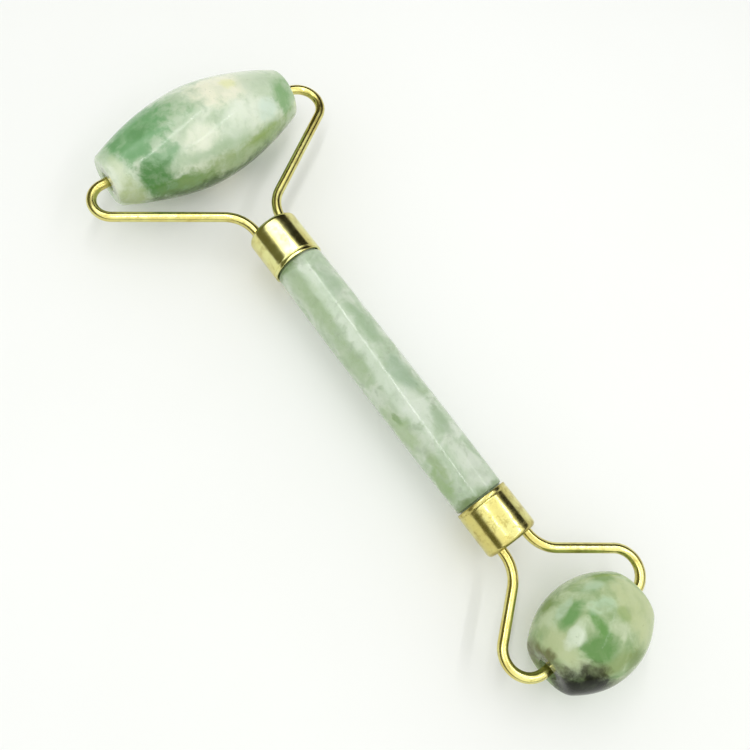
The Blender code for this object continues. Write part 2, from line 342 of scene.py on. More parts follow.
@dataclass(frozen=True)
class JadeFinish:
    """Polished jade: soft patches of several greens, dark grains, milky depths and a wet gloss; some placed
    patches are painted light and shade.
    """

    name: str
    base: Colour
    pale: Colour
    green: Colour
    clouds_and_light_patches: tuple[CloudOrLightPatch, ...]
    axis: LongAxis
    radius_mm: float
    cloud_size_mm: float = 7.0
    roughness: float = 0.13
    speckle: float = 0.35
    mottle: float = 0.2
    fray: float = 1.1
    swirl: float = 0.5
    index: float = 1.36

    def patch_mask(self, graph: Graph, spot: Any, fray: Signal, each_patch: CloudOrLightPatch) -> Signal:
        """Return how strongly a placed patch shows at each point.

        Args:
            graph: The material's nodes.
            spot: The warped place on the piece, in millimetres.
            fray: A fine noise round zero, which frays the patch's edge.
            each_patch: The patch.

        Returns:
            The mask, 0 to 1.
        """
        angle = math.radians(each_patch.round_deg)
        out, up = self.radius_mm * math.sin(angle), self.radius_mm * math.cos(angle)
        if self.axis is LongAxis.Y:
            middle = (out, each_patch.along_mm, up)
            reach = (each_patch.half_wide_mm, each_patch.half_long_mm, each_patch.half_wide_mm)
        else:
            middle = (each_patch.along_mm, out, up)
            reach = (each_patch.half_long_mm, each_patch.half_wide_mm, each_patch.half_wide_mm)
        away = graph.vector("DIVIDE", graph.vector("SUBTRACT", spot, middle), reach)
        inside = fray - graph.length(away) + 1.0
        return inside.ramp(-each_patch.edge, each_patch.edge) * each_patch.strength

    def material(self) -> bpy.types.Material:
        """Build the material.

        Returns:
            The material.
        """
        graph = MaterialGraph(self.name)
        place = graph.place_mm()
        drift = graph.warped(place, 6.0, 1.6)
        ragged = graph.warped(drift, 1.8, 0.55, detail=4.0)

        wide = graph.grain(drift, self.cloud_size_mm, 4.0, 0.55, self.swirl)
        fine = graph.grain(ragged, 2.2, 5.0, 0.6)
        colour = graph.blend(wide.ramp(0.42, 0.66), self.base, self.pale)
        colour = graph.blend(wide.ramp(0.44, 0.30) * fine.ramp(0.30, 0.60) * 0.8, colour, self.green)
        milk = graph.grain(graph.warped(place, 3.0, 1.2), 1.6, 5.0, 0.65)
        colour = graph.blend(milk.ramp(0.52, 0.72) * 0.3, colour, self.pale)
        shade = tuple(0.72 * channel for channel in self.green)
        colour = graph.blend(fine.ramp(0.50, 0.32) * self.mottle, colour, shade)
        fray = (fine - 0.5) * self.fray
        # mix in each placed patch; some of them are painted light and shade
        for each_patch in self.clouds_and_light_patches:
            mask = self.patch_mask(graph, ragged, fray, each_patch)
            mottled = mask * fine.ramp(0.30, 0.60, each_patch.solidity, 1.0)
            colour = graph.blend(mottled, colour, each_patch.colour)

        dark = graph.grain(drift, 0.7, 4.0, 0.75)
        deep = tuple(0.5 * channel for channel in self.green)
        colour = graph.blend(dark.ramp(0.60, 0.72) * fine.ramp(0.42, 0.60) * self.speckle, colour, deep)

        wear = graph.grain(place, 3.5, 3.0, 0.6)
        scuffs = graph.grain(graph.vector("MULTIPLY", place, (1.0, 6.0, 1.0)), 1.1, 4.0, 0.7)
        relief = graph.grain(place, 4.0, 2.0, 0.4) + scuffs * 0.05
        shader = graph.shader
        graph.feed(shader.inputs["Base Color"], colour)
        gloss = wear.ramp(0.3, 0.7, self.roughness * 0.8, self.roughness * 1.4)
        graph.feed(shader.inputs["Roughness"], gloss)
        graph.feed(shader.inputs["Normal"], graph.bump(relief, STONE_RELIEF, 0.6))
        shader.inputs["IOR"].default_value = self.index
        shader.inputs["Subsurface Weight"].default_value = STONE_DEPTH_SHARE
        shader.inputs["Subsurface Radius"].default_value = STONE_DEPTH_TINT
        shader.inputs["Subsurface Scale"].default_value = STONE_DEPTH
        return graph.material


@dataclass(frozen=True)
class BrassFinish:
    """Polished brass, lightly tarnished, with the fine lines of its polishing round or along it; a ferrule's
    mouth and nose also get painted shade, drawn in the same dark as the tarnished patches.
    """

    name: str
    metal: Colour
    tarnish_and_rim_shade_colour: Colour
    copper: Colour
    roughness: float
    tarnish_and_rim_shade_share: float
    line_stretch: tuple[float, float, float]
    # where the painted shade sits: the mouth's and the nose's distances along the cup
    rim_shade_mm: tuple[float, float] | None = None

    def material(self) -> bpy.types.Material:
        """Build the material.

        Returns:
            The material.
        """
        graph = MaterialGraph(self.name)
        place = graph.place_mm()
        drift = graph.warped(place, 3.0, 0.8)
        stains = graph.grain(drift, 1.7, 5.0, 0.7)
        spots = graph.grain(place, 0.45, 3.0, 0.7)
        hue = graph.grain(place, 5.0, 2.0)
        deeper = tuple(channel * factor for channel, factor in zip(self.metal, RICHER_BRASS))
        colour = graph.blend(hue.ramp(0.35, 0.65), self.metal, deeper)
        tarnish_and_rim_shade_mask = stains.ramp(0.48, 0.66)
        # painted shade along the mouth, where the cup meets the rod, and along the nose, mixed in with the
        # tarnished patches
        if self.rim_shade_mm:
            mouth, nose = self.rim_shade_mm
            reach = graph.axis(place, "X") + (stains - 0.5) * RIM_SHADE_RAGGED_MM
            rim_shade = reach.ramp(mouth, mouth - RIM_SHADE_FADE_MM).larger(reach.ramp(nose, nose + RIM_SHADE_FADE_MM))
            tarnish_and_rim_shade_mask = tarnish_and_rim_shade_mask.larger(rim_shade)
        tarnish_and_rim_shade_mask = tarnish_and_rim_shade_mask * self.tarnish_and_rim_shade_share
        colour = graph.blend(tarnish_and_rim_shade_mask, colour, self.tarnish_and_rim_shade_colour)
        pits = spots.ramp(0.66, 0.74) * stains.ramp(0.42, 0.60) * self.tarnish_and_rim_shade_share
        colour = graph.blend(pits, colour, self.copper)
        lines = graph.grain(graph.vector("MULTIPLY", place, self.line_stretch), 1.0, 4.0, 0.7)
        gloss = tarnish_and_rim_shade_mask * 0.16 + pits * 0.2 + lines.ramp(0.3, 0.7, self.roughness * 0.8, self.roughness * 1.25)
        relief = lines * 0.5 + stains * 0.5
        graph.feed(graph.shader.inputs["Base Color"], colour)
        graph.feed(graph.shader.inputs["Roughness"], gloss)
        graph.feed(graph.shader.inputs["Normal"], graph.bump(relief, BRASS_RELIEF, 0.5))
        graph.shader.inputs["Metallic"].default_value = 1.0
        return graph.material


@dataclass(frozen=True)
class DullFinish:
    """A plain moulded or cast material with a fine grain: the bushes and the resin plugs."""

    name: str
    colour: Colour
    shade: Colour
    roughness: float
    grain_mm: float

    def material(self) -> bpy.types.Material:
        """Build the material.

        Returns:
            The material.
        """
        graph = MaterialGraph(self.name)
        place = graph.place_mm()
        wide = graph.grain(place, self.grain_mm * 6, 3.0)
        fine = graph.grain(place, self.grain_mm, 4.0, 0.7)
        colour = graph.blend(wide.ramp(0.35, 0.65), self.colour, self.shade)
        gloss = fine.ramp(0.3, 0.7, self.roughness * 0.85, self.roughness)
        graph.feed(graph.shader.inputs["Base Color"], colour)
        graph.feed(graph.shader.inputs["Roughness"], gloss)
        graph.feed(graph.shader.inputs["Normal"], graph.bump(fine, CAST_RELIEF, 0.6))
        return graph.material


@dataclass(frozen=True)
class FloorFinish:
    """Matt white card with the faintest mottling."""

    name: str
    colour: Colour
    shade: Colour

    def material(self) -> bpy.types.Material:
        """Build the material.

        Returns:
            The material.
        """
        graph = MaterialGraph(self.name)
        place = graph.place_mm()
        mottle = graph.grain(place, 60.0, 3.0, 0.5)
        colour = graph.blend(mottle.ramp(0.3, 0.7), self.colour, self.shade)
        graph.feed(graph.shader.inputs["Base Color"], colour)
        graph.feed(graph.shader.inputs["Roughness"], mottle.ramp(0.3, 0.7, 0.85, 0.95))
        graph.shader.inputs["Specular IOR Level"].default_value = 0.15
        return graph.material


# --- Mesh tools -----------------------------------------------------------------------------


def arc(centre: tuple[float, float], radius: float, start: float, end: float, steps: int) -> Outline:
    """Return points of a circular arc.

    Args:
        centre: The arc's centre.
        radius: Its radius.
        start: The angle it starts at, in degrees.
        end: The angle it ends at, in degrees.
        steps: How many steps it takes.

    Returns:
        The points, both ends included.
    """
    turns = [math.radians(start + (end - start) * step / steps) for step in range(steps + 1)]
    return [(centre[0] + radius * math.cos(turn), centre[1] + radius * math.sin(turn)) for turn in turns]


def finished(name: str, shape: bmesh.types.BMesh, sharp_deg: float = 40.0) -> bpy.types.Object:
    """Turn a bmesh into a smooth-shaded object in the scene.

    Args:
        name: The object's name.
        shape: The mesh, which is freed.
        sharp_deg: Edges sharper than this stay crisp.

    Returns:
        The object.
    """
    bmesh.ops.recalc_face_normals(shape, faces=shape.faces)
    mesh = bpy.data.meshes.new(name)
    shape.to_mesh(mesh)
    shape.free()
    mesh.shade_smooth()
    mesh.set_sharp_from_angle(angle=math.radians(sharp_deg))
    made = bpy.data.objects.new(name, mesh)
    bpy.context.scene.collection.objects.link(made)
    return made


def revolved(outline: Outline, axis: LongAxis, steps: int, closed: bool,
             wobble: Callable[[Vector], float] | None = None) -> bmesh.types.BMesh:
    """Revolve an outline of (radius, along) points round an axis.

    Args:
        outline: The outline. An open one starts and ends on the axis.
        axis: The axis it turns round.
        steps: How many steps go round.
        closed: Whether the outline closes on itself, round a bore.
        wobble: How far each point moves in or out, from where it is.

    Returns:
        The mesh.
    """
    shape = bmesh.new()
    rings = []
    for radius, along in outline:
        ring = []
        for step in range(steps if radius > 0 else 1):
            angle = 2 * math.pi * step / steps
            aside, up = radius * math.sin(angle), radius * math.cos(angle)
            spot = Vector((aside, along, up)) if axis is LongAxis.Y else Vector((along, aside, up))
            if wobble and radius > 0:
                middle = Vector((0, along, 0)) if axis is LongAxis.Y else Vector((along, 0, 0))
                spot += (spot - middle).normalized() * wobble(spot)
            ring.append(shape.verts.new(spot))
        rings.append(ring)
    neighbours = list(zip(rings, rings[1:]))
    if closed:
        neighbours.append((rings[-1], rings[0]))
    for near, far in neighbours:
        for step in range(steps):
            after = (step + 1) % steps
            corners = [near[step % len(near)], near[after % len(near)],
                       far[after % len(far)], far[step % len(far)]]
            shape.faces.new(list(dict.fromkeys(corners)))
    return shape


def swept(line: Outline, radius: float, sides: int) -> bmesh.types.BMesh:
    """Sweep a round section along a line in the XY plane, with slightly domed ends.

    Args:
        line: The line's points.
        radius: The section's radius.
        sides: How many sides the section has.

    Returns:
        The mesh.
    """
    shape = bmesh.new()
    points = [Vector((x, y, 0.0)) for x, y in line]
    first = (points[0] - points[1]).normalized()
    last = (points[-1] - points[-2]).normalized()
    dome = ((0.0, 1.0), (0.35, 0.92), (0.6, 0.7), (0.72, 0.35))
    stations = [(points[0] + first * radius * out, radius * width) for out, width in reversed(dome[1:])]
    stations += [(point, radius) for point in points]
    stations += [(points[-1] + last * radius * out, radius * width) for out, width in dome[1:]]
    rings = []
    for place, (middle, width) in enumerate(stations):
        before, after = stations[max(place - 1, 0)][0], stations[min(place + 1, len(stations) - 1)][0]
        ahead = (after - before).normalized()
        across = Vector((-ahead.y, ahead.x, 0.0))
        ring = []
        for side in range(sides):
            angle = 2 * math.pi * side / sides
            outward = across * math.cos(angle) + Vector((0, 0, math.sin(angle)))
            ring.append(shape.verts.new(middle + outward * width))
        rings.append(ring)
    for near, far in zip(rings, rings[1:]):
        for side in range(sides):
            after = (side + 1) % sides
            shape.faces.new((near[side], near[after], far[after], far[side]))
    shape.faces.new(rings[0])
    shape.faces.new(rings[-1])
    return shape


# --- Where the frame puts things ------------------------------------------------------------


@dataclass(frozen=True)
class Layout:
    """Places read from the CAD frame."""

    middle: Vector
    large_axle: Vector
    small_axle: Vector

    @staticmethod
    def centre_of(node: str) -> Vector:
        """Return the centre of a node's box."""
        low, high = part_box(node)
        return (low + high) / 2

    @classmethod
    def from_frame(cls) -> "Layout":
        """Read the layout from the CAD frame."""
        return cls(cls.centre_of("handle_rod"), cls.centre_of("large_roller_stone"),
                   cls.centre_of("small_roller_stone"))

    @property
    def lean(self) -> float:
        """The small angle that the handle slopes down by, towards the small roller."""
        drop = self.large_axle.z - self.small_axle.z
        return math.atan2(drop, self.small_axle.x - self.large_axle.x)

    def along_handle(self) -> Matrix:
        """Return the place of the handle's middle, with X along it."""
        return Matrix.Translation(self.middle) @ Matrix.Rotation(self.lean, 4, "Y")

    def at_mouth(self, direction: int, distance: float) -> Matrix:
        """Return a place on the handle's axis, with X pointing out of that end.

        Args:
            direction: 1 for the small roller's end, or -1 for the large one's.
            distance: How far it is from the handle's middle.

        Returns:
            The place.
        """
        flip = Matrix.Identity(4) if direction > 0 else Matrix.Rotation(math.pi, 4, "Y")
        return self.along_handle() @ Matrix.Translation((direction * distance, 0, 0)) @ flip

    def on_axle(self, axle: Vector) -> Matrix:
        """Return the place of an axle's middle."""
        return Matrix.Translation(axle) @ Matrix.Rotation(self.lean, 4, "Y")


def dress(piece: bpy.types.Object, place: Matrix, finish: Any, body: str, slot: str,
          *nodes: str) -> bpy.types.Object:
    """Place a piece, give it its finish, hang it on its body and hide the CAD nodes it stands for.

    Args:
        piece: The piece.
        place: Its place.
        finish: The finish, which has a material method.
        body: The CAD body it rides on.
        slot: The record's material slot; not used.
        nodes: The CAD nodes it stands for.

    Returns:
        The piece.
    """
    piece.matrix_world = place
    piece.data.materials.append(finish.material())
    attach(piece, body)
    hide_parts(*nodes)
    log.info("%s: %d faces", piece.name, len(piece.data.polygons))
    return piece


# --- Pieces ---------------------------------------------------------------------------------


@dataclass
class JadeRoller:
    """A bored stone barrel that turns on its fork's stubs."""

    label: str
    half_length: float
    radius: float
    end_radius: float
    fullness: float
    edge: float
    finish: JadeFinish
    bore_radius: float = 2.1 * MM
    countersink: float = 0.15 * MM
    unevenness: float = 0.05 * MM
    rings: int = 96
    steps: int = 160

    def belly(self, along: float) -> float:
        """Return the barrel's radius at a distance from its middle."""
        share = abs(along / self.half_length) ** self.fullness
        return self.end_radius + (self.radius - self.end_radius) * (1 - share)

    def outline(self) -> Outline:
        """Return the barrel's closed outline, bore included."""
        turn = 0.0
        for _ in range(6):
            start = self.half_length - self.edge * (1 - math.sin(turn))
            share = start / self.half_length
            fall = (self.radius - self.end_radius) * self.fullness * share ** (self.fullness - 1)
            turn = math.atan(fall / self.half_length)
        start = self.half_length - self.edge * (1 - math.sin(turn))
        stations = [start * (2 * ring / self.rings - 1) for ring in range(self.rings + 1)]
        side = [(self.belly(along), along) for along in stations]
        edge_middle = (self.belly(start) - self.edge * math.cos(turn), self.half_length - self.edge)
        far = arc(edge_middle, self.edge, math.degrees(turn), 90, 12)[1:]
        sink = [(self.bore_radius + self.countersink, self.half_length),
                (self.bore_radius, self.half_length - self.countersink)]
        upper = far + sink
        lower = [(radius, -along) for radius, along in reversed(upper)]
        return lower + side + upper

    def build(self, layout: Layout, axle: Vector) -> bpy.types.Object:
        """Make the roller.

        Args:
            layout: Where the frame puts things.
            axle: The middle of its axle.

        Returns:
            The piece.
        """
        seed = Vector((self.radius, self.half_length, self.end_radius)) / MM

        def wobble(spot: Vector) -> float:
            """Return the hand-ground unevenness at a point: none at the bore."""
            away = math.hypot(spot.x, spot.z)
            share = min(1.0, max(0.0, (away - 0.5 * self.end_radius) / self.end_radius))
            slow = noise.noise(spot / (9 * MM) + seed)
            quick = noise.noise(spot / (3.2 * MM) - seed)
            return -share * self.unevenness * max(0.0, 0.6 + slow + 0.25 * quick)

        shape = revolved(self.outline(), LongAxis.Y, self.steps, True, wobble)
        piece = finished(f"{self.label}_jade_barrel", shape, 50.0)
        return dress(piece, layout.on_axle(axle), self.finish, f"{self.label}_roller",
                     f"{self.label}_roller_jade", f"{self.label}_roller_stone")


@dataclass
class JadeHandle:
    """The slightly swollen stone rod, with a spigot in each ferrule."""

    finish: JadeFinish
    length: float = 60.7 * MM
    end_radius: float = 5.3 * MM
    swell: float = 0.21 * MM
    edge: float = 0.25 * MM
    spigot_radius: float = 4.85 * MM
    spigot_length: float = 3.7 * MM
    gap: float = 0.3 * MM
    unevenness: float = 0.035 * MM
    rings: int = 120
    steps: int = 128

    def outline(self) -> Outline:
        """Return the rod's outline, from one spigot's end to the other's."""
        body_end = self.length / 2 - self.gap
        start = body_end - self.edge
        spigot_end = body_end + self.spigot_length
        spigot = [(0.0, spigot_end), (self.spigot_radius - self.edge, spigot_end),
                  (self.spigot_radius, spigot_end - self.edge), (self.spigot_radius, body_end)]
        spigot += arc((self.end_radius - self.edge, start), self.edge, 90, 0, 4)[:-1]
        side = []
        for ring in range(self.rings + 1):
            along = start * (1 - 2 * ring / self.rings)
            side.append((self.end_radius + self.swell * (1 - (2 * along / self.length) ** 2), along))
        return spigot + side + [(radius, -along) for radius, along in reversed(spigot)]

    def build(self, layout: Layout) -> bpy.types.Object:
        """Make the handle.

        Args:
            layout: Where the frame puts things.

        Returns:
            The piece.
        """
        def wobble(spot: Vector) -> float:
            """Return the hand-ground unevenness at a point of the rod."""
            slow = noise.noise(Vector((spot.x / (14 * MM), spot.y / (6 * MM), spot.z / (6 * MM))))
            quick = noise.noise(spot / (3 * MM))
            return -self.unevenness * max(0.0, 0.6 + slow + 0.2 * quick)

        shape = revolved(self.outline(), LongAxis.X, self.steps, False, wobble)
        piece = finished("jade_handle", shape, 50.0)
        return dress(piece, layout.along_handle(), self.finish, "handle", "handle_jade", "handle_rod")


@dataclass
class Ferrule:
    """A drawn brass cup with a groove near its mouth and a slot in its end plate."""

    label: str
    direction: int
    finish: BrassFinish
    mouth: float = 30.35 * MM
    length: float = 10.0 * MM
    radius: float = 5.63 * MM
    wall: float = 0.45 * MM
    plate: float = 0.8 * MM
    nose: float = 0.9 * MM
    lip: float = 0.16 * MM
    groove_at: float = 0.85 * MM
    groove_width: float = 0.36 * MM
    groove_depth: float = 0.12 * MM
    slot_half_width: float = 1.35 * MM
    slot_half_span: float = 3.2 * MM
    corner: float = 0.3 * MM
    groove_steps: int = 8
    dent_size: float = 3.5 * MM
    dent_depth: float = 0.02 * MM
    steps: int = 128

    def outline(self) -> Outline:
        """Return the cup's outline: mouth at zero, end plate at its length."""
        inner = self.radius - self.wall
        inside = self.length - self.plate
        lip = arc((self.radius - self.lip, self.lip), self.lip, -90, 0, 4)
        groove = []
        for step in range(self.groove_steps + 1):
            share = step / self.groove_steps
            along = self.groove_at + (share - 0.5) * self.groove_width
            groove.append((self.radius - self.groove_depth * math.sin(math.pi * share) ** 2, along))
        wall_steps = [(self.radius, self.groove_at + self.groove_width + step * MM) for step in range(8)]
        nose = arc((self.radius - self.nose, self.length - self.nose), self.nose, 0, 90, 12)
        plate = [(self.radius - self.nose - step * 0.7 * MM, self.length) for step in range(1, 6)]
        return ([(0.0, inside), (inner - self.corner, inside), (inner, inside - self.corner), (inner, 0.0)]
                + lip + groove + wall_steps + nose + plate + [(0.0, self.length)])

    def slot_cutter(self) -> bpy.types.Object:
        """Return the slot's shape as an object."""
        shape = bmesh.new()
        far = arc((self.slot_half_span, 0.0), self.slot_half_width, -90, 90, 16)
        near = [(-across, -up) for across, up in far]
        corners = [shape.verts.new((self.length - 2 * self.plate, across, up)) for across, up in far + near]
        grown = bmesh.ops.extrude_face_region(shape, geom=[shape.faces.new(corners)])
        moved = [item for item in grown["geom"] if isinstance(item, bmesh.types.BMVert)]
        bmesh.ops.translate(shape, verts=moved, vec=(3 * self.plate, 0, 0))
        return finished(f"{self.label}_slot_cutter", shape)

    def build(self, layout: Layout) -> bpy.types.Object:
        """Make the ferrule.

        Args:
            layout: Where the frame puts things.

        Returns:
            The piece.
        """
        def wobble(spot: Vector) -> float:
            """Return the faint dents of a thin hand-fitted tube."""
            seed = Vector((self.direction * 5.0, 0, 0))
            return self.dent_depth * (noise.noise(spot / self.dent_size + seed) - 0.6)

        turned = revolved(self.outline(), LongAxis.X, self.steps, False, wobble)
        cup = finished(f"{self.label}_brass_ferrule", turned)
        cutter = self.slot_cutter()
        cut = cup.modifiers.new("slot", "BOOLEAN")
        cut.operation = "DIFFERENCE"
        cut.solver = "EXACT"
        cut.object = cutter
        solid = bpy.data.meshes.new_from_object(cup.evaluated_get(bpy.context.evaluated_depsgraph_get()))
        cup.modifiers.clear()
        cup.data = solid
        bpy.data.objects.remove(cutter)
        solid.shade_smooth()
        solid.set_sharp_from_angle(angle=math.radians(40))
        return dress(cup, layout.at_mouth(self.direction, self.mouth), self.finish, "handle",
                     "polished_brass", f"{self.label}_end_ferrule")


@dataclass(frozen=True)
class Arm:
    """One hand-bent arm of a fork."""

    shoulder: float
    spread_deg: float
    leg_bend: float
    outer_bend: float


@dataclass
class ForkWire:
    """One bent wire: a U-bend in the ferrule, two arms and the two axle stubs."""

    label: str
    direction: int
    finish: BrassFinish
    reach: float
    right: Arm
    left: Arm
    side_shift: float
    roller_side: float
    stub: float
    face: float = 40.35 * MM
    half_spacing: float = 3.2 * MM
    u_depth: float = 4.9 * MM
    wire_radius: float = 1.05 * MM
    sides: int = 28
    leg_bend_steps: int = 20
    outer_bend_steps: int = 44
    u_bend_steps: int = 24
    straight_steps: int = 12

    def one_side(self, bent: Arm, stub_end: float) -> Outline:
        """Return one side's centreline, from the ferrule's face to the end of its stub.

        Args:
            bent: The side's arm.
            stub_end: How far from the fork's middle line the stub ends.

        Returns:
            The points.
        """
        spread = math.radians(bent.spread_deg)
        bend_middle = self.reach - bent.outer_bend
        arm_end_out = bend_middle - bent.outer_bend * math.sin(spread)
        arm_end_across = bent.shoulder + bent.outer_bend * math.cos(spread)
        leg_middle = self.half_spacing + bent.leg_bend
        arm_rise = arm_end_across - leg_middle + bent.leg_bend * math.cos(spread)
        leg_end = arm_end_out - arm_rise / math.tan(spread) - bent.leg_bend * math.sin(spread)
        leg = [(leg_end * step / 3, self.half_spacing) for step in range(3)]
        first = arc((leg_end, leg_middle), bent.leg_bend, -90, -90 + bent.spread_deg, self.leg_bend_steps)
        second = arc((bend_middle, bent.shoulder), bent.outer_bend, 90 + bent.spread_deg, 0,
                     self.outer_bend_steps)
        steps = self.straight_steps
        arm = [tuple(near + (far - near) * step / steps for near, far in zip(first[-1], second[0]))
               for step in range(1, steps)]
        stub = [(self.reach, bent.shoulder + (stub_end - bent.shoulder) * step / steps)
                for step in range(1, steps + 1)]
        return leg + first + arm + second + stub

    def line(self) -> Outline:
        """Return the whole wire's centreline, stub to stub."""
        offset = self.roller_side - self.side_shift
        right = self.one_side(self.right, self.stub + offset)
        left = [(out, -across) for out, across in reversed(self.one_side(self.left, self.stub - offset))]
        u_bend = arc((self.half_spacing - self.u_depth, 0.0), self.half_spacing, 270, 90, self.u_bend_steps)
        return [(out, across + self.side_shift) for out, across in left + u_bend + right]

    def build(self, layout: Layout) -> bpy.types.Object:
        """Make the fork.

        Args:
            layout: Where the frame puts things.

        Returns:
            The piece.
        """
        piece = finished(f"{self.label}_fork", swept(self.line(), self.wire_radius, self.sides))
        return dress(piece, layout.at_mouth(self.direction, self.face), self.finish, "handle",
                     "brass_wire", f"{self.label}_fork_wire")


# --- Studio ---------------------------------------------------------------------------------


@dataclass(frozen=True)
class Panel:
    """One flat light above the table."""

    name: str
    middle: tuple[float, float, float]
    width: float
    length: float
    radiance: float
    target: tuple[float, float, float] = (0.0, 0.0, 0.0)
    turn_deg: float = 0.0

    def build(self) -> None:
        """Hang the light."""
        lamp = bpy.data.lights.new(self.name, "AREA")
        lamp.shape = "RECTANGLE"
        lamp.size = self.width
        lamp.size_y = self.length
        lamp.energy = self.radiance * math.pi * self.width * self.length
        holder = bpy.data.objects.new(self.name, lamp)
        aim = (Vector(self.target) - Vector(self.middle)).to_track_quat("-Z", "Y").to_matrix().to_4x4()
        spin = Matrix.Rotation(math.radians(self.turn_deg), 4, "Z")
        holder.matrix_world = Matrix.Translation(self.middle) @ aim @ spin
        holder.visible_camera = False
        bpy.context.scene.collection.objects.link(holder)


WHITE_CARD = FloorFinish("white_card", (0.912, 0.917, 0.905), (0.902, 0.907, 0.89))

DIM_WALL = (0.14, 0.135, 0.06)
DARK_WALL = (0.02, 0.018, 0.01)
PALE_HORIZON = (0.82, 0.82, 0.78)
NEAR_CEILING = (1.35, 1.35, 1.30)
BRIGHT_CEILING = (3.0, 3.0, 2.95)
SOFT_FROM_BELOW = (1.16, 1.17, 1.14)
SOFT_FROM_ABOVE = (0.81, 0.82, 0.80)
BACKDROP = (0.95, 0.955, 0.94)


@dataclass(frozen=True)
class Studio:
    """The white table, the soft room round it, the lights and the camera."""

    camera_place: tuple[float, float, float] = (0.0355, -0.0577, 0.1670)
    camera_turn_deg: tuple[float, float, float] = (21.11, -8.66, 52.62)
    lens_mm: float = 40.5
    sensor_mm: float = 36.0
    near_clip: float = 0.01
    floor_half: float = 3.0
    panels: tuple[Panel, ...] = ()
    floor: FloorFinish = WHITE_CARD

    def lay_floor(self) -> None:
        """Lay the table's surface at the height the part rests on."""
        shape = bmesh.new()
        bmesh.ops.create_grid(shape, x_segments=8, y_segments=8, size=self.floor_half)
        table = finished("white_table", shape)
        table.data.materials.append(self.floor.material())

    def light_room(self) -> None:
        """Surround the table with a room.

        What polished surfaces mirror is a bright ceiling, a pale horizon and dim walls. What
        lights everything else is an even soft glow, and past the table's edge there is a plain
        backdrop.
        """
        world = bpy.data.worlds.new("soft_room")
        world.use_nodes = True
        bpy.context.scene.world = world
        graph = Graph(world.node_tree)
        way = graph.node("ShaderNodeTexCoord").outputs["Generated"]
        up = graph.axis(way, "Z")
        side = graph.axis(way, "Y")
        along = graph.axis(way, "X")
        wall = graph.blend(side.ramp(-0.3, 0.5), DIM_WALL, DARK_WALL)
        horizon = up.ramp(0.28, 0.16) * side.ramp(0.3, 0.6)
        wall = graph.blend(horizon, wall, PALE_HORIZON)
        ceiling = graph.blend(along.ramp(-0.12, -0.36), NEAR_CEILING, BRIGHT_CEILING)
        overhead = (up - side * 0.14 + along * 0.45).ramp(0.54, 0.72)
        mirrored = graph.blend(overhead, wall, ceiling)
        soft = graph.blend(up.ramp(-0.1, 0.9), SOFT_FROM_BELOW, SOFT_FROM_ABOVE)
        path = graph.node("ShaderNodeLightPath")
        glossy = Signal(graph, path.outputs["Is Glossy Ray"])
        direct = Signal(graph, path.outputs["Is Camera Ray"])
        room = graph.blend(glossy, soft, mirrored)
        backdrop = graph.blend(direct, room, BACKDROP)
        graph.feed(world.node_tree.nodes["Background"].inputs["Color"], backdrop)

    def set_camera(self) -> None:
        """Set the camera over the table."""
        lens = bpy.data.cameras.new("table_camera")
        lens.lens = self.lens_mm
        lens.sensor_width = self.sensor_mm
        lens.clip_start = self.near_clip
        camera = bpy.data.objects.new("table_camera", lens)
        turn = Euler([math.radians(angle) for angle in self.camera_turn_deg], "XYZ")
        camera.matrix_world = Matrix.Translation(self.camera_place) @ turn.to_matrix().to_4x4()
        bpy.context.scene.collection.objects.link(camera)
        bpy.context.scene.camera = camera

    def build(self) -> None:
        """Set up the studio."""
        self.lay_floor()
        self.light_room()
        for panel in self.panels:
            panel.build()
        self.set_camera()
        bpy.context.scene.view_settings.view_transform = "Standard"


# --- The roller's own finishes and sizes ----------------------------------------------------

WHITE_GREEN = tone(216, 224, 204)
# a pale tone of the stone, also used as painted light on the large stone's lit side
WHITE_AND_PAINTED_LIGHT = tone(226, 233, 218)
CREAM = tone(233, 232, 210)
YELLOW_CREAM = tone(224, 226, 176)
MID_GREEN = tone(116, 162, 112)
DEEP_GREEN = tone(78, 128, 66)
OLIVE_GREEN = tone(136, 160, 102)
BLUE_GREEN = tone(204, 221, 206)
GREY_GREEN = tone(188, 203, 176)
SMOKE = tone(28, 31, 20)

